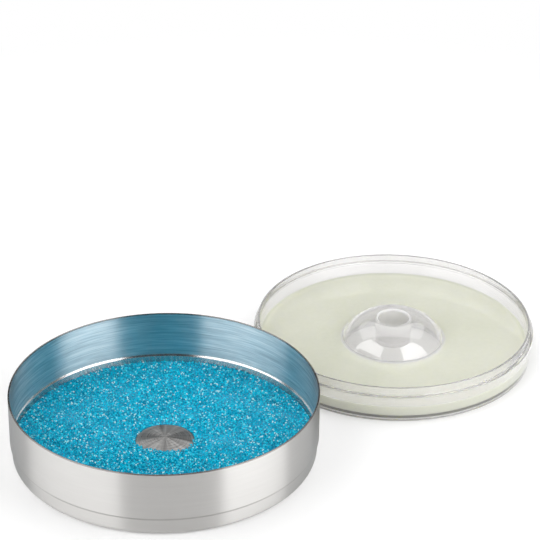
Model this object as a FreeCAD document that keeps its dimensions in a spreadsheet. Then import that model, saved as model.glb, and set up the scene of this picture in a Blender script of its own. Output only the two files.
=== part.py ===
import FreeCAD, Part
import math
import os
import Sketcher

# Cocktail glass rimmer: a steel dish for rimming sugar and a clear plastic tray for citrus juice,
# standing side by side. Both vessels are bodies of revolution, so every sub-part is a profile
# in its own XZ plane turned about its own Z axis, then rounded.
# The origin is the middle of the set's footprint, on the surface that the two vessels stand on.
# Millimetres, +Z up.

SIZES = [
    # steel dish
    ("dish_radius", 80.0, "outside of the dish wall"),
    ("dish_height", 36.0, "foot to rim"),
    ("dish_sheet", 0.8, "steel sheet of the dish"),
    ("step_height", 9.3, "top of the foot band, where the wall steps out"),
    ("step_depth", 0.7, "how far the foot band lies inside the wall"),
    ("step_rise", 0.9, "height over which the sheet runs out to the wall"),
    ("band_draft", 0.4, "how much narrower the foot band is at its foot"),
    ("dish_foot_round", 3.0, "outside bend between the band and the floor"),
    ("dish_ring_width", 4.0, "flat ring that the dish stands on"),
    ("base_recess", 0.9, "how far the floor is pressed up inside that ring"),
    ("recess_slope", 1.6, "radial run of the pressed slope"),
    ("dish_rim_round", 0.3, "rounding of the rim's two edges"),
    ("crease_round", 0.5, "rounding of the step's creases"),
    # steel boss in the middle of the dish
    ("boss_radius", 15.6, "outside of the boss"),
    ("boss_side", 3.2, "height of the boss's straight side"),
    ("boss_crown", 2.2, "rise of the spun top above the side"),
    ("boss_edge_round", 1.2, "rounding between the side and the top"),
    # sugar lying in the dish
    ("sugar_at_boss", 3.4, "depth of sugar beside the boss"),
    ("sugar_at_wall", 5.1, "depth of sugar beside the wall"),
    ("sugar_foot_round", 1.6, "rounding of the bed above the dish's bend"),
    ("fill_gap", 0.3, "space between a fill and the curved walls round it"),
    # clear tray
    ("tray_height", 20.7, "foot to lip"),
    ("lip_wall", 1.2, "thickness of the lip"),
    ("nest_clearance", 1.6, "space round the ledge when the tray stands inside the dish"),
    ("ledge_width", 2.0, "outside of the bead to outside of the lip"),
    ("lip_rise", 4.8, "top of the ledge to the lip"),
    ("ledge_bead", 1.5, "height of the bead along the ledge"),
    ("bead_depth", 0.6, "how far the bead stands out from the wall"),
    ("tray_draft", 0.6, "how much narrower the wall is at its foot"),
    ("inner_draft", 0.2, "how much narrower the inside is at the floor"),
    ("tray_foot_round", 1.6, "rounding of the wall's foot"),
    ("tray_ring_width", 3.4, "flat ring that the tray stands on"),
    ("tray_recess", 0.8, "how far the floor is raised inside that ring"),
    ("tray_floor", 2.0, "thickness of the tray's floor"),
    ("tray_floor_round", 2.0, "rounding between the floor and the wall or the dome"),
    ("ledge_cove", 0.4, "hollow rounding between the lip and the ledge"),
    ("tray_lip_round", 0.5, "rounding of the lip's two edges"),
    ("bead_round", 0.4, "rounding of the bead's edges"),
    # dome and well in the middle of the tray
    ("dome_height", 21.0, "foot of the tray to the crest of the dome"),
    ("dome_arc", 19.5, "radius of the dome's outer arc"),
    ("dome_wall", 1.6, "thickness of the dome and of the well's tube"),
    ("well_radius", 8.4, "bore of the well at its mouth"),
    ("well_draft", 0.4, "how much narrower the well is at its floor"),
    ("well_depth", 12.7, "crest of the dome to the well's floor"),
    ("well_lip_round", 1.4, "rounding of the well's mouth"),
    ("well_floor_round", 1.2, "rounding at the bottom of the well"),
    # juice standing in the tray
    ("juice_depth", 5.0, "depth of juice over the tray's floor"),
    # how the two vessels stand
    ("vessel_gap", 3.1, "space between the two vessels"),
    ("tray_bearing", 40.8, "degrees from +X, dish centre to tray centre"),
]

doc = FreeCAD.newDocument("glass_rimmer")


def make_sheet():
    """The spreadsheet of driving dimensions, one row each: name, value, meaning."""
    table = doc.addObject("Spreadsheet::Sheet", "sizes")
    for row, (name, value, meaning) in enumerate(SIZES, start=1):
        table.set("A%d" % row, name)
        table.set("B%d" % row, str(value))
        table.set("C%d" % row, meaning)
        table.setAlias("B%d" % row, name)
    doc.recompute()
    return table


sheet = make_sheet()


class Size:
    """A length that knows its number and the expression that keeps it tied to the sheet."""

    def __init__(self, value, text):
        self.value = value
        self.text = text

    def __add__(self, other):
        other = as_size(other)
        return Size(self.value + other.value, "(%s + %s)" % (self.text, other.text))

    def __sub__(self, other):
        other = as_size(other)
        return Size(self.value - other.value, "(%s - %s)" % (self.text, other.text))

    def __mul__(self, other):
        other = as_size(other)
        return Size(self.value * other.value, "(%s * %s)" % (self.text, other.text))

    def __truediv__(self, other):
        other = as_size(other)
        return Size(self.value / other.value, "(%s / %s)" % (self.text, other.text))


def as_size(thing):
    return thing if isinstance(thing, Size) else Size(float(thing), repr(float(thing)))


def size(name):
    return Size(float(sheet.get(name)), "sizes." + name)


def root_of(length):
    return Size(math.sqrt(length.value), "sqrt(%s)" % length.text)


def smaller(first, second):
    return Size(min(first.value, second.value), "min(%s; %s)" % (first.text, second.text))


def cosine(angle):
    return Size(math.cos(math.radians(angle.value)), "cos(%s)" % angle.text)


def sine(angle):
    return Size(math.sin(math.radians(angle.value)), "sin(%s)" % angle.text)


ZERO = as_size(0)

# Where the two vessels stand. The set's box is centred on the origin in plan.
dish_radius = size("dish_radius")
sheet_metal = size("dish_sheet")
wall_inside = dish_radius - sheet_metal
ledge_radius = wall_inside - size("nest_clearance")
spacing = dish_radius + ledge_radius + size("vessel_gap")
reach_x = spacing * cosine(size("tray_bearing"))
reach_y = spacing * sine(size("tray_bearing"))
dish_x = (dish_radius - ledge_radius - reach_x) / 2
dish_y = (dish_radius - ledge_radius - reach_y) / 2
tray_x = dish_x + reach_x
tray_y = dish_y + reach_y


def new_body(name, place_x, place_y, place_z=ZERO):
    """A body with its own label, standing at a place that follows the sheet."""
    body = doc.addObject("PartDesign::Body", name)
    body.Label = name
    for axis, place in (("x", place_x), ("y", place_y), ("z", place_z)):
        body.setExpression(".Placement.Base." + axis, place.text)
    return body


def origin_plane(body, role):
    return next(item for item in body.Origin.OriginFeatures if item.Role == role)


def pin_point(sketch, element, position, radius, height):
    """Tie one point of a sketch to a radius and a height."""
    if radius is ZERO:
        sketch.addConstraint(Sketcher.Constraint("PointOnObject", element, position, -2))
    else:
        index = sketch.addConstraint(
            Sketcher.Constraint("DistanceX", -1, 1, element, position, radius.value))
        sketch.setExpression("Constraints[%d]" % index, radius.text)
    if height is ZERO:
        sketch.addConstraint(Sketcher.Constraint("PointOnObject", element, position, -1))
    else:
        index = sketch.addConstraint(
            Sketcher.Constraint("DistanceY", -1, 1, element, position, height.value))
        sketch.setExpression("Constraints[%d]" % index, height.text)


def arc_between(start, end, centre_radius):
    """The minor arc between two corners whose centre has the given radius from the axis."""
    start_r, start_z = start[0].value, start[1].value
    end_r, end_z = end[0].value, end[1].value
    middle_r, middle_z = (start_r + end_r) / 2, (start_z + end_z) / 2
    across_r, across_z = end_r - start_r, end_z - start_z
    centre_z = middle_z - (centre_radius.value - middle_r) * across_r / across_z
    centre = FreeCAD.Vector(centre_radius.value, centre_z, 0)
    radius = math.hypot(start_r - centre.x, start_z - centre_z)
    angle_start = math.atan2(start_z - centre_z, start_r - centre.x)
    angle_end = math.atan2(end_z - centre_z, end_r - centre.x)
    anticlockwise = (angle_end - angle_start) % (2 * math.pi) < math.pi
    if not anticlockwise:
        angle_start, angle_end = angle_end, angle_start
    circle = Part.Circle(centre, FreeCAD.Vector(0, 0, 1), radius)
    return Part.ArcOfCircle(circle, angle_start, angle_end), anticlockwise


def turned(body, name, corners):
    """Revolve a closed profile about the body's Z axis.

    Each corner is (radius, height), or (radius, height, centre_radius) where the edge that
    leaves it is an arc whose centre stands at that radius.
    """
    sketch = body.newObject("Sketcher::SketchObject", name + "_profile")
    sketch.AttachmentSupport = [(origin_plane(body, "XZ_Plane"), "")]
    sketch.MapMode = "FlatFace"
    count = len(corners)
    starts = []
    ends = []
    for index, corner in enumerate(corners):
        following = corners[(index + 1) % count]
        if len(corner) == 3:
            edge, anticlockwise = arc_between(corner, following, corner[2])
            sketch.addGeometry(edge, False)
            starts.append(1 if anticlockwise else 2)
            ends.append(2 if anticlockwise else 1)
        else:
            sketch.addGeometry(Part.LineSegment(
                FreeCAD.Vector(corner[0].value, corner[1].value, 0),
                FreeCAD.Vector(following[0].value, following[1].value, 0)), False)
            starts.append(1)
            ends.append(2)
    for index in range(count):
        after = (index + 1) % count
        sketch.addConstraint(Sketcher.Constraint(
            "Coincident", index, ends[index], after, starts[after]))
    for index, corner in enumerate(corners):
        pin_point(sketch, index, starts[index], corner[0], corner[1])
        if len(corner) == 3 and corner[2] is ZERO:
            sketch.addConstraint(Sketcher.Constraint("PointOnObject", index, 3, -2))
        elif len(corner) == 3:
            held = sketch.addConstraint(
                Sketcher.Constraint("DistanceX", -1, 1, index, 3, corner[2].value))
            sketch.setExpression("Constraints[%d]" % held, corner[2].text)
    revolution = body.newObject("PartDesign::Revolution", name)
    revolution.Profile = sketch
    revolution.ReferenceAxis = (sketch, ["V_Axis"])
    revolution.Angle = 360
    doc.recompute()
    return revolution


def ring_names(feature, rings):
    """Names of the circular edges that lie at the given (radius, height) pairs."""
    names = []
    for number, edge in enumerate(feature.Shape.Edges, start=1):
        if edge.Degenerated or not isinstance(edge.Curve, Part.Circle):
            continue
        curve = edge.Curve
        for radius, height in rings:
            same_radius = abs(curve.Radius - radius.value) < 1e-4
            same_height = abs(curve.Center.z - height.value) < 1e-4
            centred = math.hypot(curve.Center.x, curve.Center.y) < 1e-4
            if same_radius and same_height and centred:
                names.append("Edge%d" % number)
    if len(names) < len(rings):
        raise RuntimeError("%s: only %d of %d edges found" % (feature.Name, len(names), len(rings)))
    return names


def rounded(body, base, name, radius, rings):
    """Round the circular edges at the given (radius, height) pairs."""
    fillet = body.newObject("PartDesign::Fillet", name)
    fillet.Base = (base, ring_names(base, rings))
    fillet.setExpression("Radius", radius.text)
    doc.recompute()
    return fillet


# ---------------------------------------------------------------- steel dish
rim_height = size("dish_height")
step_height = size("step_height")
band_top = dish_radius - size("step_depth")
band_foot = band_top - size("band_draft")
step_top = step_height + size("step_rise")
ring_outside = band_foot - size("dish_foot_round")
ring_inside = ring_outside - size("dish_ring_width")
recess_edge = ring_inside - size("recess_slope")
base_recess = size("base_recess")
dish_floor = base_recess + sheet_metal


def dish_pan():
    """The drawn pan: wall, step, foot band, standing ring and raised floor in one sheet."""
    body = new_body("dish_pan", dish_x, dish_y)
    outer_corner = (band_foot, ZERO)
    inner_corner = (band_foot - sheet_metal, sheet_metal)
    outer_step = [(band_top, step_height), (dish_radius, step_top)]
    inner_step = [(wall_inside, step_top + sheet_metal / 2),
                  (band_top - sheet_metal, step_height + sheet_metal / 2)]
    rim = [(dish_radius, rim_height), (wall_inside, rim_height)]
    shell = turned(body, "dish_shell", [
        (ZERO, base_recess),
        (recess_edge, base_recess),
        (ring_inside, ZERO),
        outer_corner,
        outer_step[0],
        outer_step[1],
        rim[0],
        rim[1],
        inner_step[0],
        inner_step[1],
        inner_corner,
        (ring_inside, sheet_metal),
        (recess_edge, dish_floor),
        (ZERO, dish_floor),
    ])
    bend = rounded(body, shell, "outer_bend", size("dish_foot_round"), [outer_corner])
    bend = rounded(body, bend, "inner_bend", size("dish_foot_round") - sheet_metal, [inner_corner])
    creases = rounded(body, bend, "step_creases", size("crease_round"),
                      [outer_step[1], inner_step[0], inner_step[1]])
    rim_round = smaller(size("dish_rim_round"), sheet_metal * 0.45)
    rounded(body, creases, "rim_edges", rim_round, rim)
    return body


def centre_boss():
    """The turned boss: straight side, crowned top, seated on the dish's floor."""
    body = new_body("centre_boss", dish_x, dish_y, dish_floor)
    radius = size("boss_radius")
    side = size("boss_side")
    blank = turned(body, "boss_blank", [
        (ZERO, ZERO),
        (radius, ZERO),
        (radius, side, ZERO),
        (ZERO, side + size("boss_crown")),
    ])
    rounded(body, blank, "boss_edge", size("boss_edge_round"), [(radius, side)])
    return body


def rimming_sugar():
    """The bed of sugar: a ring between the boss and the foot band, its top slightly dished."""
    body = new_body("rimming_sugar", dish_x, dish_y, dish_floor)
    inside = size("boss_radius") + size("fill_gap")
    outside = band_foot - sheet_metal - size("fill_gap")
    bed = turned(body, "sugar_bed", [
        (inside, ZERO),
        (outside, ZERO),
        (outside, size("sugar_at_wall")),
        (inside, size("sugar_at_boss")),
    ])
    rounded(body, bed, "sugar_foot", size("sugar_foot_round"), [(outside, ZERO)])
    return body


# ---------------------------------------------------------------- clear tray
tray_height = size("tray_height")
lip_radius = ledge_radius - size("ledge_width")
lip_inside = lip_radius - size("lip_wall")
ledge_height = tray_height - size("lip_rise")
bead_foot = ledge_height - size("ledge_bead")
wall_top = ledge_radius - size("bead_depth")
wall_foot = wall_top - size("tray_draft")
foot_inside = wall_foot - size("tray_foot_round") - size("tray_ring_width")
tray_recess = size("tray_recess")
tray_floor = tray_recess + size("tray_floor")
inside_foot = lip_inside - size("inner_draft")

well_radius = size("well_radius")
dome_wall = size("dome_wall")
dome_height = size("dome_height")
dome_arc = size("dome_arc")
crest_radius = well_radius + dome_wall
dome_centre = dome_height - dome_arc
well_floor = dome_height - size("well_depth")
well_foot = well_radius - size("well_draft")
tube_foot = well_floor - dome_wall


def dome_radius_at(height, arc):
    """Radius of one of the dome's two arcs at a height."""
    below = height - dome_centre
    return crest_radius + root_of(arc * arc - below * below)


def juice_tray():
    """The moulded tray: foot ring, wall, beaded ledge, lip, floor, and the dome with its well."""
    body = new_body("juice_tray", tray_x, tray_y)
    foot_corner = (wall_foot, ZERO)
    bead = [(ledge_radius, bead_foot), (ledge_radius, ledge_height)]
    lip_foot = (lip_radius, ledge_height)
    lip = [(lip_radius, tray_height), (lip_inside, tray_height)]
    floor_corner = (inside_foot, tray_floor)
    dome_foot = (dome_radius_at(tray_floor, dome_arc), tray_floor)
    mouth = (well_radius, dome_height)
    well_corner = (well_foot, well_floor)
    inner_arc = dome_arc - dome_wall
    moulding = turned(body, "tray_moulding", [
        (ZERO, tube_foot),
        (well_foot + dome_wall, tube_foot),
        (crest_radius, dome_centre + inner_arc, crest_radius),
        (dome_radius_at(tray_recess, inner_arc), tray_recess),
        (foot_inside, tray_recess),
        (foot_inside, ZERO),
        foot_corner,
        (wall_top, bead_foot),
        bead[0],
        bead[1],
        lip_foot,
        lip[0],
        lip[1],
        floor_corner,
        (dome_foot[0], dome_foot[1], crest_radius),
        (crest_radius, dome_height),
        mouth,
        well_corner,
        (ZERO, well_floor),
    ])
    inner = rounded(body, moulding, "floor_rounds", size("tray_floor_round"),
                    [floor_corner, dome_foot])
    foot = rounded(body, inner, "foot_round", size("tray_foot_round"), [foot_corner])
    cove = rounded(body, foot, "ledge_cove", size("ledge_cove"), [lip_foot])
    beads = rounded(body, cove, "bead_edges", size("bead_round"), bead)
    edges = rounded(body, beads, "lip_edges",
                    smaller(size("tray_lip_round"), size("lip_wall") * 0.45), lip)
    well = rounded(body, edges, "well_mouth",
                   smaller(size("well_lip_round"), dome_wall * 0.95), [mouth])
    rounded(body, well, "well_bottom", size("well_floor_round"), [well_corner])
    return body


def citrus_juice():
    """The juice: a flat ring of liquid between the tray's wall and its dome."""
    body = new_body("citrus_juice", tray_x, tray_y, tray_floor)
    depth = size("juice_depth")
    gap = size("fill_gap")
    widening = size("inner_draft") * depth / (tray_height - tray_floor)
    dome_gap_arc = dome_arc + gap
    bend = size("tray_floor_round")
    foot_radius = dome_radius_at(tray_floor, dome_gap_arc)
    liquid = turned(body, "juice_ring", [
        (foot_radius, ZERO),
        (inside_foot - gap, ZERO),
        (inside_foot + widening - gap, depth),
        (dome_radius_at(tray_floor + depth, dome_gap_arc), depth, crest_radius),
    ])
    rounded(body, liquid, "juice_foot", bend, [(foot_radius, ZERO), (inside_foot - gap, ZERO)])
    return body


sub_parts = [dish_pan(), centre_boss(), rimming_sugar(), juice_tray(), citrus_juice()]
doc.recompute()

for item in doc.Objects:
    if "Invalid" in item.State or "Error" in item.State:
        raise RuntimeError("%s did not compute" % item.Label)

placed = {"dish_pan": (dish_x, dish_y, ZERO), "juice_tray": (tray_x, tray_y, ZERO)}
for body in sub_parts:
    shape = body.Shape
    if shape.isNull() or not shape.isValid() or len(shape.Solids) != 1:
        raise RuntimeError("%s is not one sound solid" % body.Label)
    if body.Label in placed:
        wanted = FreeCAD.Vector(*[length.value for length in placed[body.Label]])
        if body.Placement.Base.distanceToPoint(wanted) > 1e-6:
            raise RuntimeError("%s does not stand where the sheet puts it" % body.Label)

os.makedirs("parts", exist_ok=True)
for body in sub_parts:
    body.Shape.exportStep("parts/%s.step" % body.Label)
    box = body.Shape.BoundBox
    print("%-14s %9.1f mm3  x %.2f..%.2f  y %.2f..%.2f  z %.2f..%.2f" % (
        body.Label, body.Shape.Volume, box.XMin, box.XMax, box.YMin, box.YMax, box.ZMin, box.ZMax))
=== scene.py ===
import math

import bpy
import numpy as np
from mathutils import Matrix, Vector

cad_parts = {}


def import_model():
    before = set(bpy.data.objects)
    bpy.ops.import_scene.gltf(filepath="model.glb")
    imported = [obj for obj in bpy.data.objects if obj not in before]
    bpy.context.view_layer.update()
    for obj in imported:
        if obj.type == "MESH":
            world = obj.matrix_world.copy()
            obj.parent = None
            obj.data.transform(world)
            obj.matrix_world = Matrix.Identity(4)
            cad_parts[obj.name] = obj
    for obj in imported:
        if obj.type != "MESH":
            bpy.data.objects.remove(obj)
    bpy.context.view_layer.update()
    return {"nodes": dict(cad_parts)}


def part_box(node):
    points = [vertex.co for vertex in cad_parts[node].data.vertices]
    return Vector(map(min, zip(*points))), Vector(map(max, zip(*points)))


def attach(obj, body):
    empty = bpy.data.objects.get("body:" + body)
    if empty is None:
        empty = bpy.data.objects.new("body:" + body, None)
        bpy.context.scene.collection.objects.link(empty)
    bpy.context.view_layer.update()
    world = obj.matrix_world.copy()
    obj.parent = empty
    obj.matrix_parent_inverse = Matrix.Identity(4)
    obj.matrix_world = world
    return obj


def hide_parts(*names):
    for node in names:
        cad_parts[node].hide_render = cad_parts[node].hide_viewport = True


# Cocktail glass rimmer: a brushed steel dish of blue sugar beside a clear plastic tray of lime juice.
# Sizes of the dish, the sugar, the tray and the juice are in mm, and MM turns them into metres.
# Axes, camera, floor and lamps are in metres, as the scene is.

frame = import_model()

MM = 0.001
scene = bpy.context.scene
scene.view_settings.view_transform = "Standard"


# ---------------------------------------------------------------- sizes from the frame
def axis_of(node):
    """Middle of a CAD node in plan: where its axis of revolution stands."""
    low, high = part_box(node)
    return Vector(((low.x + high.x) / 2, (low.y + high.y) / 2, 0))


def radius_foot_top(node):
    """Radius, foot and top of a CAD node turned about an upright axis, to a tenth of a mm."""
    low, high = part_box(node)
    return [round(length / MM, 1) for length in ((high.x - low.x) / 2, low.z, high.z)]


DISH_AXIS = axis_of("dish_pan")
TRAY_AXIS = axis_of("juice_tray")
DISH_RADIUS, _, DISH_TOP = radius_foot_top("dish_pan")
BOSS_RADIUS, DISH_FLOOR, BOSS_TOP = radius_foot_top("centre_boss")
_, _, SUGAR_TOP = radius_foot_top("rimming_sugar")
TRAY_RADIUS, _, TRAY_TOP = radius_foot_top("juice_tray")
_, TRAY_FLOOR, JUICE_TOP = radius_foot_top("citrus_juice")


# ---------------------------------------------------------------- camera
# Fitted to the circles of both vessels: metres and radians, and mm for the lens and its sensor.
CAMERA_PLACE = Vector((0.0052, -1.0507, 0.6431))
CAMERA_PITCH, CAMERA_YAW, CAMERA_ROLL = 0.493, -0.011, 0.008
CAMERA_LENS, CAMERA_SENSOR = 151.8, 36
NEAREST, FURTHEST = 0.01, 100


def make_camera():
    data = bpy.data.cameras.new("camera")
    data.sensor_width = CAMERA_SENSOR
    data.lens = CAMERA_LENS
    data.clip_start, data.clip_end = NEAREST, FURTHEST
    camera = bpy.data.objects.new("camera", data)
    scene.collection.objects.link(camera)
    forward, down = math.cos(CAMERA_PITCH), math.sin(CAMERA_PITCH)
    ahead = Vector((math.sin(CAMERA_YAW) * forward, math.cos(CAMERA_YAW) * forward, -down))
    level = Vector((math.cos(CAMERA_YAW), -math.sin(CAMERA_YAW), 0))
    upward = level.cross(ahead)
    right = level * math.cos(CAMERA_ROLL) + upward * math.sin(CAMERA_ROLL)
    up = upward * math.cos(CAMERA_ROLL) - level * math.sin(CAMERA_ROLL)
    turn = Matrix((right, up, -ahead)).transposed().to_4x4()
    camera.matrix_world = Matrix.Translation(CAMERA_PLACE) @ turn
    scene.camera = camera


# ---------------------------------------------------------------- node helpers
class Nodes:
    """A short way to write a node tree. A socket given as a value is linked, anything else is set."""

    def __init__(self, tree):
        self.tree = tree
        tree.nodes.clear()

    def add(self, kind, values=None, **settings):
        made = self.tree.nodes.new("ShaderNode" + kind)
        for name, value in settings.items():
            setattr(made, name, value)
        for key, value in (values or {}).items():
            if isinstance(value, bpy.types.NodeSocket):
                self.tree.links.new(value, made.inputs[key])
            else:
                made.inputs[key].default_value = value
        return made

    def maths(self, operation, first, second=0.0):
        return self.add("Math", {0: first, 1: second}, operation=operation).outputs[0]

    def times(self, first, second):
        return self.maths("MULTIPLY", first, second)

    def larger(self, first, second):
        return self.maths("MAXIMUM", first, second)

    def join(self, x, y, z):
        return self.add("CombineXYZ", {0: x, 1: y, 2: z}).outputs[0]

    def split(self, vector):
        return self.add("SeparateXYZ", {0: vector}).outputs

    def place(self, kind="Object"):
        return self.add("TexCoord").outputs[kind]

    def noise(self, vector, scale, detail=2.0, roughness=0.5):
        """Noise whose scale counts its coarsest patches along one unit of the vector."""
        values = {"Vector": vector, "Scale": scale, "Detail": detail, "Roughness": roughness}
        return self.add("TexNoise", values).outputs[0]

    def ramp(self, value, stops):
        """Colour ramp of (position, colour) stops."""
        made = self.add("ValToRGB", {0: value})
        elements = made.color_ramp.elements
        while len(elements) < len(stops):
            elements.new(1.0)
        for element, (position, colour) in zip(elements, stops):
            element.position = position
            element.color = (*colour, 1)
        return made.outputs[0]

    def spread(self, value, span, ends):
        """Lays the span (low, high) of a value over the ends (start, end), and stays within them."""
        return self.add("MapRange", {0: value, 1: span[0], 2: span[1], 3: ends[0], 4: ends[1]}).outputs[0]

    def fade(self, value, span, unit=1.0):
        """Smooth step over a span in the given unit: 0 at its first end, 1 at its second."""
        values = {0: value, 1: span[0] * unit, 2: span[1] * unit}
        return self.add("MapRange", values, interpolation_type="SMOOTHSTEP").outputs[0]

    def between(self, factor, first, second):
        """Mix of two colours."""
        made = self.add("Mix", {0: factor}, data_type="RGBA", clamp_factor=True)
        for index, value in ((6, first), (7, second)):
            if isinstance(value, bpy.types.NodeSocket):
                self.tree.links.new(value, made.inputs[index])
            else:
                made.inputs[index].default_value = (*value, 1)
        return made.outputs[2]

    def blend(self, factor, first, second):
        """Mix of two numbers."""
        values = {0: factor, 2: first, 3: second}
        return self.add("Mix", values, data_type="FLOAT", clamp_factor=True).outputs[0]

    def bump(self, height, strength, depth):
        """Bumps of a depth in mm."""
        values = {"Height": height, "Strength": strength, "Distance": depth * MM}
        return self.add("Bump", values).outputs[0]

    def principled(self, values):
        return self.add("BsdfPrincipled", values).outputs[0]

    def mix_surfaces(self, factor, first, second):
        return self.add("MixShader", {0: factor, 1: first, 2: second}).outputs[0]

    def glow(self, strength):
        return self.add("Emission", {"Color": (1, 1, 1, 1), "Strength": strength}).outputs[0]

    def finish(self, surface, kind="OutputMaterial"):
        self.add(kind, {"Surface": surface})


def material(name):
    made = bpy.data.materials.new(name)
    made.use_nodes = True
    return made, Nodes(made.node_tree)


def dress(thing, made):
    thing.data.materials.clear()
    thing.data.materials.append(made)


def from_axis(nodes, axis=(0, 0, 0)):
    """Offset in plan from an upright axis as x and y, then the height and the distance."""
    offset = nodes.add("VectorMath", {0: nodes.place(), 1: tuple(axis)}, operation="SUBTRACT").outputs[0]
    x, y, height = nodes.split(offset)
    distance = nodes.maths("SQRT", nodes.maths("ADD", nodes.times(x, x), nodes.times(y, y)))
    return x, y, height, distance


# ---------------------------------------------------------------- mesh helpers
def mesh_piece(name, points, faces, place, smooth=True):
    data = bpy.data.meshes.new(name)
    data.from_pydata(points, [], faces)
    data.polygons.foreach_set("use_smooth", [smooth] * len(data.polygons))
    data.update()
    thing = bpy.data.objects.new(name, data)
    thing.location = place
    scene.collection.objects.link(thing)
    return thing


def arc(centre, radius, start, end, steps):
    """Points (r, z) of an arc, angles in degrees from the outward direction, both ends included."""
    made = []
    for step in range(steps + 1):
        angle = math.radians(start + (end - start) * step / steps)
        made.append((centre[0] + radius * math.cos(angle), centre[1] + radius * math.sin(angle)))
    return made


def rounded_profile(corners, steps):
    """Corners (r, z) or (r, z, radius) of an open profile; a radius rounds that corner in some steps."""
    made = []
    for index, corner in enumerate(corners):
        if len(corner) == 2:
            made.append(corner)
            continue
        here = Vector(corner[:2])
        before = (Vector(corners[index - 1][:2]) - here).normalized()
        after = (Vector(corners[index + 1][:2]) - here).normalized()
        half = before.angle(after) / 2
        reach = corner[2] / math.tan(half)
        middle = here + (before + after).normalized() * (corner[2] / math.sin(half))
        first, last = here + before * reach - middle, here + after * reach - middle
        sweep = math.pi - 2 * half
        for step in range(steps + 1):
            share = step / steps
            near, far = math.sin((1 - share) * sweep), math.sin(share * sweep)
            made.append(tuple(middle + (first * near + last * far) / math.sin(sweep)))
    return made


def ring_points(profile, segments):
    """Points of a turned profile, and the list of points of each corner. On the axis that is one point."""
    points, rings = [], []
    for radius, height in profile:
        turns = 1 if radius == 0 else segments
        rings.append(list(range(len(points), len(points) + turns)))
        for step in range(turns):
            angle = 2 * math.pi * step / segments
            points.append((radius * MM * math.cos(angle), radius * MM * math.sin(angle), height * MM))
    return points, rings


def band_faces(low, high, segments):
    """Faces between two rings of points, of which one may be a single point."""
    for step in range(segments):
        after = (step + 1) % segments
        if len(low) == 1:
            yield low[0], high[after], high[step]
        elif len(high) == 1:
            yield low[step], low[after], high[0]
        else:
            yield low[step], low[after], high[after], high[step]


def sharpen_rings(data, profile, rings, sharp_angle):
    """Marks the edges of each ring where the profile turns by more than an angle in degrees."""
    ring_of = np.full(len(data.vertices), -1)
    turned = np.zeros(len(profile), bool)
    for index, ring in enumerate(rings):
        ring_of[ring] = index
        here, after = Vector(profile[index]), Vector(profile[(index + 1) % len(profile)])
        turn = (here - Vector(profile[index - 1])).angle(after - here, 0)
        turned[index] = len(ring) > 1 and turn > math.radians(sharp_angle)
    ends = np.zeros(len(data.edges) * 2, int)
    data.edges.foreach_get("vertices", ends)
    first, second = ring_of[ends.reshape(-1, 2)].T
    marks = data.attributes.new("sharp_edge", "BOOLEAN", "EDGE")
    marks.data.foreach_set("value", (first == second) & turned[first])


def lathe(name, profile, place, segments, sharp_angle=35):
    """Turns a closed profile, in mm and anticlockwise seen with r to the right, about an upright axis."""
    points, rings = ring_points(profile, segments)
    faces = []
    for low, high in zip(rings, rings[1:] + rings[:1]):
        if len(low) > 1 or len(high) > 1:
            faces.extend(band_faces(low, high, segments))
    thing = mesh_piece(name, points, faces, place)
    sharpen_rings(thing.data, profile, rings, sharp_angle)
    return thing


# ---------------------------------------------------------------- steel
# A fade gives the two places, in mm, between which one look turns into the next.
FOOT_FADE = (10.9, 10.6)
RIM_FADE = (DISH_TOP - 0.7, DISH_TOP - 0.5)
GROOVE_FOOT_FADE, GROOVE_TOP_FADE = (8.9, 9.2), (10.5, 10.3)

STEEL_EDGE = (0.5, 0.53, 0.55, 1)
SATIN_STOPS = [(0.3, (0.635, 0.625, 0.610)), (0.7, (0.670, 0.660, 0.645))]
STREAK_STOPS = [(0.36, (0.58, 0.62, 0.64)), (0.5, (0.77, 0.82, 0.84)), (0.62, (1.0, 1.0, 1.0))]
# The boss's stops are far darker than the dish's steel: a painted dark reflection.
BOSS_TINT_AND_DARK_REFLECTION_STOPS = [(0.35, (0.22, 0.216, 0.21)), (0.5, (0.37, 0.364, 0.357)), (0.65, (0.60, 0.59, 0.575))]
# The rim's tint is a painted dark reflection; the groove's tint, laid on at GROOVE_SHADE, is painted shadow
# under the outside step.
FOOT_TINT, RIM_DARK_REFLECTION_TINT, GROOVE_SHADOW_TINT = (0.80, 0.78, 0.765), (0.30, 0.285, 0.28), (0.30, 0.29, 0.28)
GROOVE_SHADE = 0.4

# Brush and lathe marks, and the painted rays of sheen on the boss: how often they change round the axis,
# how many lie across a metre, their noise's detail.
WIDE_LINES, FINE_LINES = (2.2, 700.0, 3), (5.0, 3600.0, 2)
LATHE_RINGS, LATHE_SHEEN_RAYS = (1.0, 2600.0, 3), (5.0, 30.0, 2)
LINES_ROUGHNESS = 0.6
FINE_SHARE, SHEEN_RAY_SHARE = 0.45, 0.5
SATIN_BUMP, STREAK_BUMP, LATHE_BUMP = 0.03, 0.12, 0.1
LINE_DEPTH = 0.2

NOISE_SPAN = (0.3, 0.7)
SATIN_GLOSS, LATHE_GLOSS, POLISHED_GLOSS = (0.31, 0.37), (0.27, 0.34), 0.25
SIDE_FADE = (0.1, -0.1)
LEAST_DISTANCE = 0.01 * MM


def round_axis(nodes, axis):
    """Place about an upright axis: its direction in plan, its height and its distance, which is never 0."""
    x, y, height, distance = from_axis(nodes, axis)
    distance = nodes.larger(distance, LEAST_DISTANCE)
    return nodes.maths("DIVIDE", x, distance), nodes.maths("DIVIDE", y, distance), height, distance


def brush_and_sheen_streaks(nodes, east, north, across, marks):
    """Noise drawn out round the axis: its low and high values are the lines that a brush leaves, and on the
    boss also painted rays of sheen.
    """
    turns, scale, detail = marks
    stretched = nodes.join(nodes.times(east, turns), nodes.times(north, turns), nodes.times(across, scale))
    return nodes.noise(stretched, 1.0, detail, LINES_ROUGHNESS)


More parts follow.
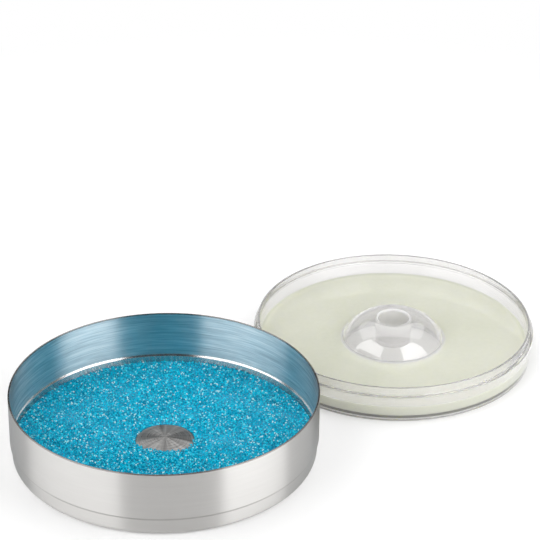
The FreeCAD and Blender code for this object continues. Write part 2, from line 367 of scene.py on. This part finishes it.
def brushed_steel(nodes, east, north, tint, gloss, lines, strength):
    """Metal with lines that run round the axis, so that its sheen spreads across them."""
    return nodes.principled({
        "Base Color": tint, "Metallic": 1.0, "Specular Tint": STEEL_EDGE, "Roughness": gloss,
        "Anisotropic": 1.0, "Anisotropic Rotation": 0.25,
        "Tangent": nodes.join(nodes.times(north, -1.0), east, 0.0),
        "Normal": nodes.bump(lines, strength, LINE_DEPTH)})


def faces_inward(nodes, east, north):
    """1 on the side of the wall that faces the axis, 0 on the outside."""
    x, y, _ = nodes.split(nodes.add("NewGeometry").outputs["Normal"])
    outward = nodes.maths("ADD", nodes.times(x, east), nodes.times(y, north))
    return nodes.fade(outward, SIDE_FADE)


def dish_material():
    """Drawn steel: satin outside with painted shadow along its groove, streaked inside, polished at its
    foot and at its rim, which carries a painted dark reflection.
    """
    made, nodes = material("drawn_steel")
    east, north, height, distance = round_axis(nodes, DISH_AXIS)
    across = nodes.maths("ADD", height, distance)
    wide = brush_and_sheen_streaks(nodes, east, north, across, WIDE_LINES)
    fine = brush_and_sheen_streaks(nodes, east, north, across, FINE_LINES)
    lines = nodes.blend(FINE_SHARE, wide, fine)

    inside = faces_inward(nodes, east, north)
    foot = nodes.times(inside, nodes.fade(height, FOOT_FADE, MM))
    rim = nodes.fade(height, RIM_FADE, MM)
    # Painted shadow: a band at the groove's height, on the outside only.
    band = nodes.times(nodes.fade(height, GROOVE_FOOT_FADE, MM), nodes.fade(height, GROOVE_TOP_FADE, MM))
    groove_shadow = nodes.times(band, nodes.maths("SUBTRACT", 1.0, inside))

    tint = nodes.between(inside, nodes.ramp(lines, SATIN_STOPS), nodes.ramp(lines, STREAK_STOPS))
    tint = nodes.between(foot, tint, FOOT_TINT)
    # Painted dark reflection along the rim, then painted shadow along the groove.
    tint = nodes.between(rim, tint, RIM_DARK_REFLECTION_TINT)
    tint = nodes.between(nodes.times(groove_shadow, GROOVE_SHADE), tint, GROOVE_SHADOW_TINT)
    gloss = nodes.spread(fine, NOISE_SPAN, SATIN_GLOSS)
    gloss = nodes.blend(nodes.larger(foot, rim), gloss, POLISHED_GLOSS)
    strength = nodes.blend(inside, SATIN_BUMP, STREAK_BUMP)
    nodes.finish(brushed_steel(nodes, east, north, tint, gloss, lines, strength))
    return made


def boss_material():
    """Steel faced on a lathe: close rings that throw a bow-shaped sheen. Its tint, far darker than the
    dish's, is a painted dark reflection, and the rays mixed into it are painted sheen.
    """
    made, nodes = material("spun_steel")
    east, north, height, distance = round_axis(nodes, DISH_AXIS)
    rings = brush_and_sheen_streaks(nodes, east, north, nodes.maths("ADD", height, distance), LATHE_RINGS)
    # Painted sheen: rays that change round the axis, mixed into the tint.
    rays = brush_and_sheen_streaks(nodes, east, north, distance, LATHE_SHEEN_RAYS)
    tint = nodes.ramp(nodes.blend(SHEEN_RAY_SHARE, rings, rays), BOSS_TINT_AND_DARK_REFLECTION_STOPS)
    gloss = nodes.spread(rings, NOISE_SPAN, LATHE_GLOSS)
    nodes.finish(brushed_steel(nodes, east, north, tint, gloss, rings, LATHE_BUMP))
    return made


# ---------------------------------------------------------------- sugar
SUGAR_INNER, SUGAR_OUTER = BOSS_RADIUS + 0.15, DISH_RADIUS - 1.8
SUGAR_AT_BOSS = DISH_FLOOR + 3.4
BOSS_CROWN = 2.2
BED_SUNK, BED_LIFT = 0.35, 0.05
BED_BEND = [(2.0, BED_LIFT), (0.5, 1.0), (0.1, 2.6)]
BED_RINGS, BED_SEGMENTS = 12, 128
LONG_WAVE, LONG_X, LONG_Y, LONG_START = 0.22, 9.0, 7.0, 1.3
CROSS_WAVE, CROSS_LENGTH = 0.14, 6.5
HEAP_HEIGHT, HEAP_Y, HEAP_WIDE, HEAP_DEEP = 1.5, -17.0, 14.0, 7.0

SEED = 11
CRYSTAL_STEP, JITTER = 1.04, 0.36
LAYERS, LAYER_DROP = 4, 0.6
LAYER_SHIFT_X, LAYER_SHIFT_Y = 0.4, 0.3
SURFACE_ABOVE_BED, CRYSTAL_SUNK, UNEVEN = 0.3, 0.15, (-0.16, 0.26)
CLEAR_OF_BOSS, INTO_BED, CLEAR_OF_WALL = 0.05, 0.3, 0.35
SMALLEST, LARGEST = (0.62, 0.50, 0.42), (1.20, 0.95, 0.72)
CORNER_CUT = (0.72, 1.0)
CRYSTAL_STOPS = [
    (0.0, (0.000, 0.290, 0.460)), (0.35, (0.000, 0.460, 0.690)), (0.7, (0.000, 0.680, 0.920)),
    (0.9, (0.050, 0.830, 0.970)), (1.0, (0.750, 1.000, 1.000))]
CRYSTAL_GRAIN, MOTTLE_SPAN, CRYSTAL_GLOSS = 900.0, (0.35, 0.65), (0.05, 0.30)
# Pale at each grain's middle, darker towards its edges: painted shade in the gaps.
BED_GRAIN_AND_GAP_SHADE_STOPS = [(0.0, (0.005, 0.470, 0.700)), (0.5, (0.000, 0.330, 0.540)), (1.0, (0.000, 0.200, 0.370))]
BED_GRAIN = 1300.0


def bed_height(radius):
    """Top of the levelled bed under the loose crystals."""
    share = (radius - SUGAR_INNER) / (SUGAR_OUTER - SUGAR_INNER)
    return SUGAR_AT_BOSS - BED_SUNK + (SUGAR_TOP - SUGAR_AT_BOSS) * share


def crown_height(radius):
    """Top of the boss."""
    return BOSS_TOP - BOSS_CROWN * (radius / BOSS_RADIUS) ** 2


def sugar_height(x, y):
    """Surface of the sugar: the bed, gentle waves, and a low heap against the front of the boss."""
    long_wave = LONG_WAVE * np.sin(x / LONG_X + LONG_START) * np.cos(y / LONG_Y)
    cross_wave = CROSS_WAVE * np.sin((x + 2 * y) / CROSS_LENGTH)
    heap = HEAP_HEIGHT * np.exp(-0.5 * (x / HEAP_WIDE) ** 2 - 0.5 * ((y - HEAP_Y) / HEAP_DEEP) ** 2)
    return bed_height(np.hypot(x, y)) + SURFACE_ABOVE_BED + (long_wave + cross_wave) + heap


def crystal_material():
    """Glossy blue grains: each has its own tint, and patches of it are duller."""
    made, nodes = material("sugar_crystal")
    chance = nodes.add("NewGeometry").outputs["Random Per Island"]
    mottle = nodes.noise(nodes.place(), CRYSTAL_GRAIN)
    nodes.finish(nodes.principled({
        "Base Color": nodes.ramp(chance, CRYSTAL_STOPS), "IOR": 1.40,
        "Roughness": nodes.spread(mottle, MOTTLE_SPAN, CRYSTAL_GLOSS),
        "Normal": nodes.bump(mottle, strength=0.25, depth=0.1)}))
    return made


def bed_material():
    """Fine blue grains, with painted shade darkening the gaps between them."""
    made, nodes = material("sugar_bed")
    cells = nodes.add("TexVoronoi", {"Vector": nodes.place(), "Scale": BED_GRAIN}).outputs["Distance"]
    nodes.finish(nodes.principled({
        "Base Color": nodes.ramp(cells, BED_GRAIN_AND_GAP_SHADE_STOPS), "Roughness": 0.4,
        "Normal": nodes.bump(cells, strength=0.6, depth=0.3)}))
    return made


def bed_profile():
    """Section of the bed: it follows the dish's floor and bend, and its top dips towards the boss."""
    profile = [(SUGAR_INNER, DISH_FLOOR + BED_LIFT)]
    profile += [(SUGAR_OUTER - inward, DISH_FLOOR + rise) for inward, rise in BED_BEND]
    profile.append((SUGAR_OUTER, SUGAR_TOP - BED_SUNK))
    for step in range(1, BED_RINGS + 1):
        radius = SUGAR_OUTER + (SUGAR_INNER - SUGAR_OUTER) * step / BED_RINGS
        profile.append((radius, bed_height(radius)))
    return profile


def sugar_bed():
    bed = lathe("sugar_bed", bed_profile(), DISH_AXIS, BED_SEGMENTS)
    dress(bed, bed_material())
    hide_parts("rimming_sugar")
    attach(bed, "dish")


def random_turns(random, count):
    """Random rotation matrices, evenly spread."""
    q = random.normal(size=(count, 4))
    q /= np.linalg.norm(q, axis=1)[:, None]
    w, x, y, z = q.T
    return np.stack([
        np.stack([1 - 2 * (y * y + z * z), 2 * (x * y - z * w), 2 * (x * z + y * w)], 1),
        np.stack([2 * (x * y + z * w), 1 - 2 * (x * x + z * z), 2 * (y * z - x * w)], 1),
        np.stack([2 * (x * z - y * w), 2 * (y * z + x * w), 1 - 2 * (x * x + y * y)], 1)], 1)


def crystal_places(random):
    """Middles of the loose crystals: a top layer, and more below wherever the sugar lies deeper."""
    row_step = CRYSTAL_STEP * math.sqrt(3) / 2
    found = []
    for layer in range(LAYERS):
        columns = np.arange(-SUGAR_OUTER, SUGAR_OUTER, CRYSTAL_STEP) + layer * CRYSTAL_STEP * LAYER_SHIFT_X
        rows = np.arange(-SUGAR_OUTER, SUGAR_OUTER, row_step) + layer * CRYSTAL_STEP * LAYER_SHIFT_Y
        x, y = np.meshgrid(columns, rows)
        x = x + (np.arange(len(rows)) % 2)[:, None] * CRYSTAL_STEP / 2
        x = x.ravel() + random.uniform(-JITTER, JITTER, x.size) * CRYSTAL_STEP
        y = y.ravel() + random.uniform(-JITTER, JITTER, y.size) * CRYSTAL_STEP
        z = sugar_height(x, y) - CRYSTAL_SUNK - layer * LAYER_DROP + random.uniform(*UNEVEN, x.size)
        radius = np.hypot(x, y)
        over_boss, over_bed = crown_height(radius) + CLEAR_OF_BOSS, bed_height(radius) - INTO_BED
        ground = np.where(radius < SUGAR_INNER, over_boss, over_bed)
        kept = (z > ground) & (radius < SUGAR_OUTER - CLEAR_OF_WALL)
        found.append(np.stack([x, y, z], 1)[kept])
    return np.concatenate(found)


def crystal_blocks(random, places):
    """Corners of every crystal, in metres: skewed little blocks, each turned its own way."""
    count = len(places)
    sizes = random.uniform(SMALLEST, LARGEST, (count, 3)) / 2
    corners = np.array([(i, j, k) for k in (-1, 1) for j in (-1, 1) for i in (-1, 1)], float)
    shapes = corners[None] * random.uniform(*CORNER_CUT, (count, 8, 3)) * sizes[:, None]
    shapes = np.einsum("nij,nkj->nki", random_turns(random, count), shapes)
    return (shapes + places[:, None]) * MM


def sugar_crystals():
    """Loose crystals over the bed, as one piece for each quarter of the dish."""
    random = np.random.default_rng(SEED)
    places = crystal_places(random)
    points = crystal_blocks(random, places)
    block = np.array([(0, 2, 3, 1), (4, 5, 7, 6), (0, 1, 5, 4), (2, 6, 7, 3), (0, 4, 6, 2), (1, 3, 7, 5)])
    made = crystal_material()
    right, back = places[:, 0] >= 0, places[:, 1] >= 0
    quarters = {"front_left": ~right & ~back, "front_right": right & ~back,
                "back_left": ~right & back, "back_right": right & back}
    for name, chosen in quarters.items():
        mine = points[chosen]
        faces = (block[None] + 8 * np.arange(len(mine))[:, None, None]).reshape(-1, 4)
        corners = mine.reshape(-1, 3)
        piece = mesh_piece("sugar_crystals_" + name, corners, faces.tolist(), DISH_AXIS, smooth=False)
        dress(piece, made)
        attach(piece, "dish")


# ---------------------------------------------------------------- clear tray
LIP_OUT = TRAY_RADIUS - 2.0
LIP_IN = LIP_OUT - 1.2
LIP_TOP = TRAY_TOP - 0.3
LEDGE_TOP = LIP_TOP - 4.8
BEAD_FOOT = LEDGE_TOP - 1.5
WALL_TOP, WALL_FOOT = TRAY_RADIUS - 0.6, TRAY_RADIUS - 1.2
INSIDE_FOOT = LIP_IN - 0.2
RECESS_EDGE, RECESS_TOP = WALL_FOOT - 5.0, 0.8
WELL_TOP, WELL_FOOT = 8.4, 8.0
WELL_FLOOR = TRAY_TOP - 12.7
DOME_WALL = 1.6
TUBE_FOOT = WELL_FLOOR - DOME_WALL
CREST = WELL_TOP + DOME_WALL
ARC_OUT = 19.5
ARC_IN = ARC_OUT - DOME_WALL
ARC_HEIGHT = TRAY_TOP - ARC_OUT
DOME_FOOT = CREST + ARC_OUT

RECESS_ROUND, FOOT_ROUND, COVE_ROUND, BEAD_ROUND = 0.15, 1.6, 0.1, 0.15
LEDGE_ROUND, LIP_ROUND, FLOOR_ROUND = 0.4, 0.55, 2.0
MOUTH_ROUND, WELL_ROUND = 1.4, 1.2
TRAY_SEGMENTS, JUICE_SEGMENTS = 480, 192
TRAY_SEAM, JUICE_SEAM = 60, 40
ARC_SKIP = 2  # degrees left out beside a point that the profile has already

# Fades from one look of the plastic to the next, over distances from the axis or over heights.
ON_WALL = (DOME_FOOT + 1.5, DOME_FOOT + 4.5)
ON_FLANK = (CREST + 8, CREST + 15)
IN_WELL = (CREST + 1.0, CREST + 0.2)
IN_BORE = (WELL_TOP + 0.6, WELL_TOP + 0.4)
MOUTH_ACROSS, MOUTH_UP = (WELL_TOP + 1.2, WELL_TOP + 0.8), (TRAY_TOP - 1.0, TRAY_TOP - 0.4)
LEDGE_ACROSS, LEDGE_UP = (TRAY_RADIUS - 0.4, TRAY_RADIUS - 0.2), (LEDGE_TOP - 0.6, LEDGE_TOP - 0.4)
LIP_UP = (LIP_TOP - 0.5, LIP_TOP - 0.3)

PLASTIC_CLOUD, PLASTIC_GLOSS = 60.0, (0.05, 0.09)
PLASTIC_STOPS = [(0.3, (0.900, 0.890, 0.895)), (0.7, (0.920, 0.910, 0.915))]
# Grey of the painted dark reflection along the lip's top and the ledge's edge.
EDGE_DARK_REFLECTION_TINT = (0.62, 0.61, 0.62)
PASSED_DOME, PASSED_WALL, PASSED_WELL = (0.77, 0.77, 0.745), (0.87, 0.865, 0.87), (0.98, 0.98, 0.97)
# The lower clarities on the flank, in the bore and round the mouth are painted light: a painted highlight
# on the flank and mouth ring, and a lighter bore.
CLEAR_DOME, CLEAR_FLANK_HIGHLIGHT, CLEAR_WALL, CLEAR_BORE_LIGHTENED, CLEAR_MOUTH_HIGHLIGHT = 0.80, 0.74, 0.89, 0.50, 0.30


def dome_fillet(bend):
    """Hollow rounding from the floor to the dome's outer arc: its centre, and the angle where it ends."""
    rise = TRAY_FLOOR + bend - ARC_HEIGHT
    reach = math.sqrt((ARC_OUT + bend) ** 2 - rise ** 2)
    return (CREST + reach, TRAY_FLOOR + bend), math.degrees(math.atan2(rise, reach))


def tray_profile():
    """The moulding's section: under the dome, round the foot, up the wall and down inside it, over the
    dome and into the well. Its parts join on the flat floor, at the seam."""
    dome_centre = (CREST, ARC_HEIGHT)
    inner_foot = math.degrees(math.asin((RECESS_TOP - ARC_HEIGHT) / ARC_IN))
    fillet_centre, touch = dome_fillet(FLOOR_ROUND)
    wall = rounded_profile([
        (RECESS_EDGE, RECESS_TOP), (RECESS_EDGE, 0, RECESS_ROUND), (WALL_FOOT, 0, FOOT_ROUND),
        (WALL_TOP, BEAD_FOOT, COVE_ROUND), (TRAY_RADIUS, BEAD_FOOT, BEAD_ROUND),
        (TRAY_RADIUS, LEDGE_TOP, LEDGE_ROUND), (LIP_OUT, LEDGE_TOP, LEDGE_ROUND),
        (LIP_OUT, LIP_TOP, LIP_ROUND), (LIP_IN, LIP_TOP, LIP_ROUND),
        (INSIDE_FOOT, TRAY_FLOOR, FLOOR_ROUND), (TRAY_SEAM, TRAY_FLOOR)], steps=6)
    well = rounded_profile([
        (CREST, TRAY_TOP), (WELL_TOP, TRAY_TOP, MOUTH_ROUND), (WELL_FOOT, WELL_FLOOR, WELL_ROUND),
        (0, WELL_FLOOR)], steps=10)
    profile = [(0, TUBE_FOOT), (WELL_FOOT + DOME_WALL, TUBE_FOOT), (CREST, ARC_HEIGHT + ARC_IN)]
    profile += arc(dome_centre, ARC_IN, 90 - ARC_SKIP, inner_foot, steps=30)
    profile += wall
    profile += arc(fillet_centre, FLOOR_ROUND, 270, 180 + touch, steps=8)
    profile += arc(dome_centre, ARC_OUT, touch + ARC_SKIP, 90, steps=34)
    return profile + well[1:]


def painted_edge_lines(nodes, height, distance, on_wall):
    """1 on the lip's top and on the ledge's rounded edge, where thin grey lines are a painted dark
    reflection.
    """
    lip = nodes.times(on_wall, nodes.fade(height, LIP_UP, MM))
    ledge = nodes.times(nodes.fade(distance, LEDGE_ACROSS, MM), nodes.fade(height, LEDGE_UP, MM))
    return nodes.larger(lip, ledge)


def plastic_clarity(nodes, height, distance, on_wall):
    """How much light goes through: most at the wall, less on the dome, least round the well's mouth. The
    extra haze shows more whitish base colour: a painted highlight on the dome's flank and round the mouth,
    and painted light in the bore.
    """
    dome = nodes.blend(nodes.fade(distance, ON_FLANK, MM), CLEAR_DOME, CLEAR_FLANK_HIGHLIGHT)
    clarity = nodes.blend(on_wall, dome, CLEAR_WALL)
    clarity = nodes.blend(nodes.fade(distance, IN_BORE, MM), clarity, CLEAR_BORE_LIGHTENED)
    # Painted highlight: a bright ring of haze round the well's mouth.
    mouth_highlight = nodes.times(nodes.fade(height, MOUTH_UP, MM), nodes.fade(distance, MOUTH_ACROSS, MM))
    return nodes.blend(mouth_highlight, clarity, CLEAR_MOUTH_HIGHLIGHT)


def plastic_material():
    """Clear moulded plastic with a slight haze. Diffuse and shadow rays go straight through it and take
    on a little grey, so that what it shuts in stays lit."""
    made, nodes = material("clear_plastic")
    _, _, height, distance = from_axis(nodes)
    on_wall = nodes.fade(distance, ON_WALL, MM)
    cloud = nodes.noise(nodes.place(), PLASTIC_CLOUD)
    # Painted dark reflection: thin grey lines on the lip and the ledge.
    edges = painted_edge_lines(nodes, height, distance, on_wall)
    solid = nodes.principled({
        "Base Color": nodes.between(edges, nodes.ramp(cloud, PLASTIC_STOPS), EDGE_DARK_REFLECTION_TINT),
        "Roughness": nodes.spread(cloud, NOISE_SPAN, PLASTIC_GLOSS), "IOR": 1.42,
        "Transmission Weight": plastic_clarity(nodes, height, distance, on_wall),
        "Coat Weight": 1.0, "Coat IOR": 1.55, "Coat Roughness": 0.0})
    passed = nodes.between(on_wall, PASSED_DOME, PASSED_WALL)
    passed = nodes.between(nodes.fade(distance, IN_WELL, MM), passed, PASSED_WELL)
    straight = nodes.add("BsdfTransparent", {"Color": passed}).outputs[0]
    rays = nodes.add("LightPath").outputs
    surface = nodes.mix_surfaces(rays["Is Diffuse Ray"], solid, straight)
    nodes.finish(nodes.mix_surfaces(rays["Is Shadow Ray"], surface, straight))
    return made


def clear_tray():
    tray = lathe("clear_tray", tray_profile(), TRAY_AXIS, TRAY_SEGMENTS)
    dress(tray, plastic_material())
    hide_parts("juice_tray")
    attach(tray, "tray")


# ---------------------------------------------------------------- juice
JUICE_WET = 0.03
CLIMB, CLIMB_RUN = 1.1, 2.4
CLIMB_STEPS, CLIMB_REACH, CLIMB_CROWDING = 14, 3.6, 1.6
JUICE_SHARP_ANGLE = 60
AT_WALL, AT_DOME = (INSIDE_FOOT - 2.2, INSIDE_FOOT - 0.2), (DOME_FOOT + 0.5, DOME_FOOT - 1.5)
JUICE_STOPS = [(0.35, (0.685, 0.698, 0.585)), (0.65, (0.745, 0.753, 0.648))]
WALL_TINT, DOME_TINT = (0.60, 0.62, 0.51), (0.80, 0.80, 0.76)
JUICE_CLOUD, JUICE_PULP, PULP_SHARE = (22.0, 4, 0.55), (420.0, 2, 0.6), 0.25


def climbing_surface():
    """The surface drawn up beside what it wets: each point's distance from it, and height."""
    for step in range(1, CLIMB_STEPS):
        away = CLIMB_RUN * CLIMB_REACH * (step / CLIMB_STEPS) ** CLIMB_CROWDING
        yield away, JUICE_TOP + CLIMB * math.exp(-away / CLIMB_RUN)


def juice_profile():
    """The juice's section: it reaches a little into the wall and the dome, and climbs a little at both."""
    top = JUICE_TOP + CLIMB
    foot = INSIDE_FOOT + JUICE_WET
    wall = foot + (LIP_IN - INSIDE_FOOT) * (top - TRAY_FLOOR) / (LIP_TOP - TRAY_FLOOR)
    dome = CREST + math.sqrt(ARC_OUT ** 2 - (top - ARC_HEIGHT) ** 2) - JUICE_WET
    dome_angle = math.degrees(math.asin((top - ARC_HEIGHT) / ARC_OUT))
    fillet_centre, touch = dome_fillet(FLOOR_ROUND)
    under = TRAY_FLOOR - JUICE_WET
    surface = list(climbing_surface())
    profile = rounded_profile([(JUICE_SEAM, under), (foot, under, FLOOR_ROUND), (wall, top)], steps=7)
    profile += [(wall - away, height) for away, height in surface]
    profile += [(dome + away, height) for away, height in reversed(surface)]
    profile += arc((CREST, ARC_HEIGHT), ARC_OUT - JUICE_WET, dome_angle, touch, steps=10)
    profile += arc(fillet_centre, FLOOR_ROUND + JUICE_WET, 180 + touch, 270, steps=8)[1:]
    return profile


def juice_material():
    """Cloudy juice: pale green where it is deep, greyer where it thins out over the plastic's bends."""
    made, nodes = material("citrus_juice")
    distance = from_axis(nodes)[3]
    cloud = nodes.noise(nodes.place(), *JUICE_CLOUD)
    pulp = nodes.noise(nodes.place(), *JUICE_PULP)
    tint = nodes.ramp(nodes.blend(PULP_SHARE, cloud, pulp), JUICE_STOPS)
    tint = nodes.between(nodes.fade(distance, AT_WALL, MM), tint, WALL_TINT)
    tint = nodes.between(nodes.fade(distance, AT_DOME, MM), tint, DOME_TINT)
    nodes.finish(nodes.principled({
        "Base Color": tint, "Roughness": 0.04, "IOR": 1.34,
        "Subsurface Weight": 0.8, "Subsurface Radius": (1.0, 1.0, 0.75), "Subsurface Scale": 0.005,
        "Normal": nodes.bump(pulp, strength=0.02, depth=0.2)}))
    return made


def juice():
    liquid = lathe("lime_juice", juice_profile(), TRAY_AXIS, JUICE_SEGMENTS, JUICE_SHARP_ANGLE)
    dress(liquid, juice_material())
    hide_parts("citrus_juice")
    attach(liquid, "tray")


# ---------------------------------------------------------------- floor and light
# Rises and norths are shares of a ray's direction, and a strength of 1 is white.
FLOOR_HALF, FLOOR_HEIGHT = 8.0, -0.00015
TONE_SPAN, TONES = (-0.15, 0.6), (0.80, 0.97)
PLAIN_FADE = (0.40, 0.52)
FLOOR_SEEN, FLOOR_MIRRORED = 0.20, 0.17
ROOM, DARK, BACKDROP, DULL_SHARE = 0.26, 0.05, 0.85, 0.2
BACKDROP_NORTH, DULL_RISE, SHARP_RISE = (0.1, 0.5), (0.30, 0.45), (-0.1, 0.0)
THROUGH_RISE = (0.35, 0.75)


def floor_material():
    """White paper, a little darker towards the front, and plain white to the camera far off."""
    made, nodes = material("white_floor")
    rays = nodes.add("LightPath").outputs
    place = nodes.place()
    away = nodes.add("VectorMath", {0: place}, operation="LENGTH").outputs["Value"]
    tone = nodes.spread(nodes.split(place)[1], TONE_SPAN, TONES)
    matt = nodes.add("BsdfDiffuse", {"Color": tone}).outputs[0]
    mirrored = nodes.larger(rays["Is Glossy Ray"], rays["Is Transmission Ray"])
    lift = nodes.blend(rays["Is Camera Ray"], nodes.times(mirrored, FLOOR_MIRRORED), FLOOR_SEEN)
    near = nodes.add("AddShader", {0: matt, 1: nodes.glow(lift)}).outputs[0]
    far = nodes.times(rays["Is Camera Ray"], nodes.fade(away, PLAIN_FADE))
    nodes.finish(nodes.mix_surfaces(far, near, nodes.glow(1.0)))
    return made


def floor():
    corners = [(x * FLOOR_HALF, y * FLOOR_HALF, FLOOR_HEIGHT)
               for x, y in ((-1, -1), (1, -1), (1, 1), (-1, 1))]
    ground = mesh_piece("floor", corners, [(0, 1, 2, 3)], (0, 0, 0), smooth=False)
    dress(ground, floor_material())


def world():
    """White to the camera. Mirrors see a dark room with a white backdrop behind the set: dull ones little
    of it, the plastic's clear coat all of it. What is seen through the plastic is white low down."""
    made = bpy.data.worlds.new("studio")
    made.use_nodes = True
    scene.world = made
    nodes = Nodes(made.node_tree)
    rays = nodes.add("LightPath").outputs
    _, north, rise = nodes.split(nodes.place("Generated"))
    dull = nodes.times(nodes.fade(rise, DULL_RISE), DULL_SHARE)
    sharp = nodes.times(rays["Is Singular Ray"], nodes.fade(rise, SHARP_RISE))
    behind = nodes.times(nodes.fade(north, BACKDROP_NORTH), nodes.larger(dull, sharp))
    through = nodes.spread(rise, THROUGH_RISE, (1.0, ROOM))
    in_plastic = nodes.maths("GREATER_THAN", rays["Transmission Depth"], 0.5)
    mirrored = nodes.blend(in_plastic, nodes.blend(behind, DARK, BACKDROP), through)
    strength = nodes.blend(rays["Is Glossy Ray"], ROOM, mirrored)
    strength = nodes.blend(rays["Is Transmission Ray"], strength, through)
    strength = nodes.blend(rays["Is Camera Ray"], strength, 1.0)
    background = nodes.add("Background", {"Color": (1, 1, 1, 1), "Strength": strength})
    nodes.finish(background.outputs[0], "OutputWorld")


def panel(name, centre, aim, width, height, glow):
    """A soft box: a lit rectangle of the given radiance that faces a point."""
    data = bpy.data.lights.new(name, "AREA")
    data.shape = "RECTANGLE"
    data.size, data.size_y = width, height
    data.energy = glow * width * height * math.pi
    lamp = bpy.data.objects.new(name, data)
    lamp.location = centre
    lamp.rotation_mode = "QUATERNION"
    lamp.rotation_quaternion = (Vector(aim) - Vector(centre)).to_track_quat("-Z", "Y")
    lamp.visible_camera = False
    scene.collection.objects.link(lamp)


def upright_panel(name, start, end, height, glow):
    """A soft box standing on the floor, from one plan point to another, facing the set."""
    middle = Vector(((start[0] + end[0]) / 2, (start[1] + end[1]) / 2, height / 2))
    run = Vector((end[0] - start[0], end[1] - start[1], 0))
    facing = Vector((-run.y, run.x, 0)).normalized()
    if facing.dot(-middle) < 0:
        facing = -facing
    panel(name, middle, middle + facing, run.length, height, glow)


def lights():
    upright_panel("soft_left", start=(-0.50, -0.93), end=(-1.02, 0.10), height=1.5, glow=2.2)
    upright_panel("soft_right", start=(0.25, -0.42), end=(0.535, -0.06), height=0.75, glow=2.8)
    panel("soft_top", centre=(-0.1, 0.95, 1.2), aim=(-0.1, 0.95, 0), width=2.6, height=1.5, glow=1.0)


make_camera()
dress(frame["nodes"]["dish_pan"], dish_material())
dress(frame["nodes"]["centre_boss"], boss_material())
sugar_bed()
sugar_crystals()
clear_tray()
juice()
floor()
world()
lights()
